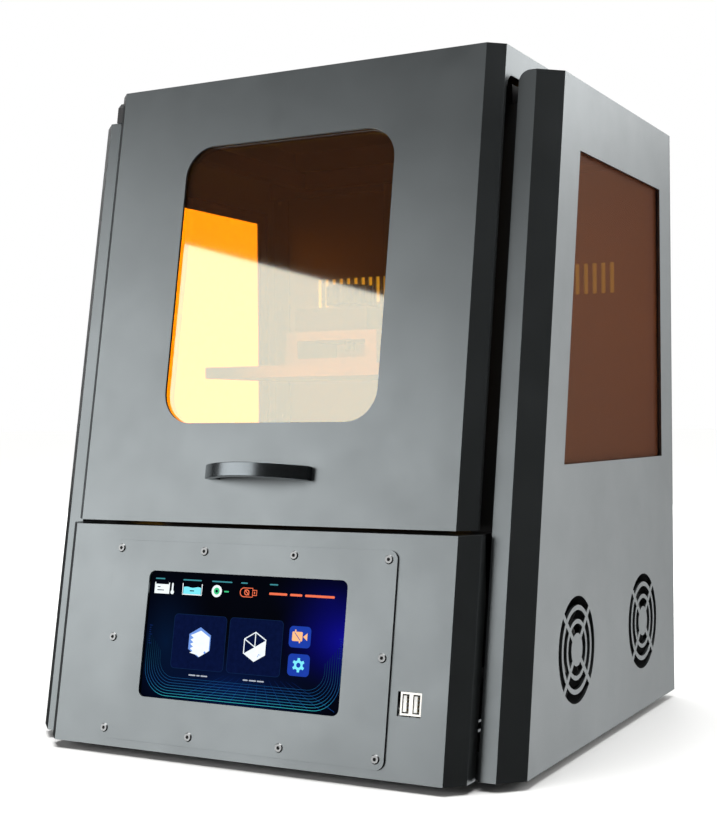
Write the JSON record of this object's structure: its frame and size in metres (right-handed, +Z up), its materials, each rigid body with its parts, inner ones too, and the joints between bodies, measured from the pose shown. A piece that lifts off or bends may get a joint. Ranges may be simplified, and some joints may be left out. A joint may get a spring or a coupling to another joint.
{
  "type": "resin printer",
  "caption": "Desktop resin printer with a flip-up hood and amber windows, a touch screen in its lower front, and a platform that a lead screw lowers into a vat.",
  "frame": {"origin": "centre of the footprint on the surface that the machine stands on", "axes": "+Z up, the front with the screen faces -Y, +X to the right of a person who faces the front"},
  "size_m": [0.4, 0.3892, 0.502],
  "materials": {
    "graphite_paint": "satin powder coat",
    "hood_paint": "satin powder coat on aluminium sheet",
    "black_paint": "matt black paint",
    "foot_rubber": "matt",
    "screw_steel": "bright",
    "screen_glass": "gloss",
    "metal_can": "zinc plated",
    "port_steel": "bright",
    "black_anodised": "black anodised",
    "amber_acrylic": "gloss amber acrylic",
    "gasket_foam": "matt",
    "black_plastic": "moulded",
    "hinge_steel": "satin",
    "bare_aluminium": "blasted and clear anodised",
    "rail_steel": "ground",
    "motor_body": "satin black",
    "mask_glass": "gloss",
    "lamp_board": "white solder mask",
    "lens_clear": "clear",
    "circuit_board": "green solder mask",
    "rocker_red": "gloss",
    "handle_black": "black gloss metal",
    "nut_brass": "turned",
    "vat_anodised": "dark anodised",
    "film_clear": "clear film"
  },
  "bodies": {
    "cabinet": {"base_tray": "graphite_paint", "feet": "foot_rubber", "left_side_casing": "graphite_paint", "right_side_casing": "graphite_paint", "rear_panel": "graphite_paint", "lower_front_panel": "graphite_paint", "screen_bezel": "graphite_paint", "bezel_screws": "screw_steel", "touch_glass": "screen_glass", "display_module": "metal_can", "usb_port": "port_steel", "deck_plate": "black_anodised", "left_window": "amber_acrylic", "right_window": "amber_acrylic", "left_window_gasket": "gasket_foam", "right_window_gasket": "gasket_foam", "left_jamb": "black_paint", "right_jamb": "black_paint", "top_frame": "black_paint", "casing_screws": "screw_steel", "hood_sensor": "black_plastic", "hinge_fixed_leaves": "hinge_steel", "hinge_pins": "hinge_steel", "z_column": "bare_aluminium", "linear_rails": "rail_steel", "screw_top_bearing": "black_anodised", "screw_bottom_bearing": "black_anodised", "z_motor": "motor_body", "motor_bracket": "metal_can", "mask_screen": "mask_glass", "lamp_housing": "black_paint", "lamp_board": "lamp_board", "lamp_lenses": "lens_clear", "lamp_heatsink": "bare_aluminium", "front_fan_frame": "black_plastic", "rear_fan_frame": "black_plastic", "power_supply": "metal_can", "mainboard": "circuit_board", "power_inlet": "black_plastic", "resin_vat": "vat_anodised", "vat_film": "film_clear"},
    "hood": {"hood_shell": "hood_paint", "hood_window": "amber_acrylic", "hood_gasket": "gasket_foam", "hood_handle": "handle_black", "hood_magnet": "black_plastic", "hinge_moving_leaves": "hinge_steel"},
    "carriage": {"z_carriage": "bare_aluminium", "carriage_blocks": "rail_steel", "screw_nut": "nut_brass", "platform_arm": "black_anodised", "build_platform": "bare_aluminium"},
    "screw": {"lead_screw": "rail_steel", "screw_coupler": "bare_aluminium"},
    "knob": {"platform_knob": "black_plastic"},
    "left_thumb_screw": {"left_vat_screw": "black_plastic"},
    "right_thumb_screw": {"right_vat_screw": "black_plastic"},
    "front_rotor": {"front_fan_rotor": "black_plastic"},
    "rear_rotor": {"rear_fan_rotor": "black_plastic"},
    "rocker": {"power_rocker": "rocker_red"}
  },
  "joints": [
    {"name": "hood_hinge", "type": "hinge", "parent": "cabinet", "child": "hood", "pos_m": [0, 0.18164, 0.4905], "axis": [-1, 0, 0], "range_deg": [0, 80]},
    {"name": "platform_travel", "type": "slide", "parent": "cabinet", "child": "carriage", "axis": [0, 0, 1], "range_m": [-0.104, 0.086]},
    {"name": "screw_turn", "type": "hinge", "parent": "cabinet", "child": "screw", "pos_m": [0, 0.13164, 0.206], "axis": [0, 0, 1], "range_deg": [-7900, 9500]},
    {"name": "knob_turn", "type": "hinge", "parent": "carriage", "child": "knob", "pos_m": [0, -0.02036, 0.336], "axis": [0, 0, 1], "range_deg": [0, 360]},
    {"name": "left_thumb_turn", "type": "hinge", "parent": "cabinet", "child": "left_thumb_screw", "pos_m": [-0.133, -0.02036, 0.181], "axis": [0, 0, 1], "range_deg": [0, 360]},
    {"name": "right_thumb_turn", "type": "hinge", "parent": "cabinet", "child": "right_thumb_screw", "pos_m": [0.133, -0.02036, 0.181], "axis": [0, 0, 1], "range_deg": [0, 360]},
    {"name": "front_fan_spin", "type": "hinge", "parent": "cabinet", "child": "front_rotor", "pos_m": [0.185, -0.05666, 0.0768], "axis": [1, 0, 0], "continuous": true},
    {"name": "rear_fan_spin", "type": "hinge", "parent": "cabinet", "child": "rear_rotor", "pos_m": [0.185, 0.10234, 0.0768], "axis": [1, 0, 0], "continuous": true},
    {"name": "rocker_tilt", "type": "hinge", "parent": "cabinet", "child": "rocker", "pos_m": [0.1645, 0.18664, 0.056], "axis": [-1, 0, 0], "range_deg": [0, 12]}
  ],
  "couplings": [
    {"joint": "screw_turn", "follows": "platform_travel", "rad_per_m": -1570.8}
  ]
}
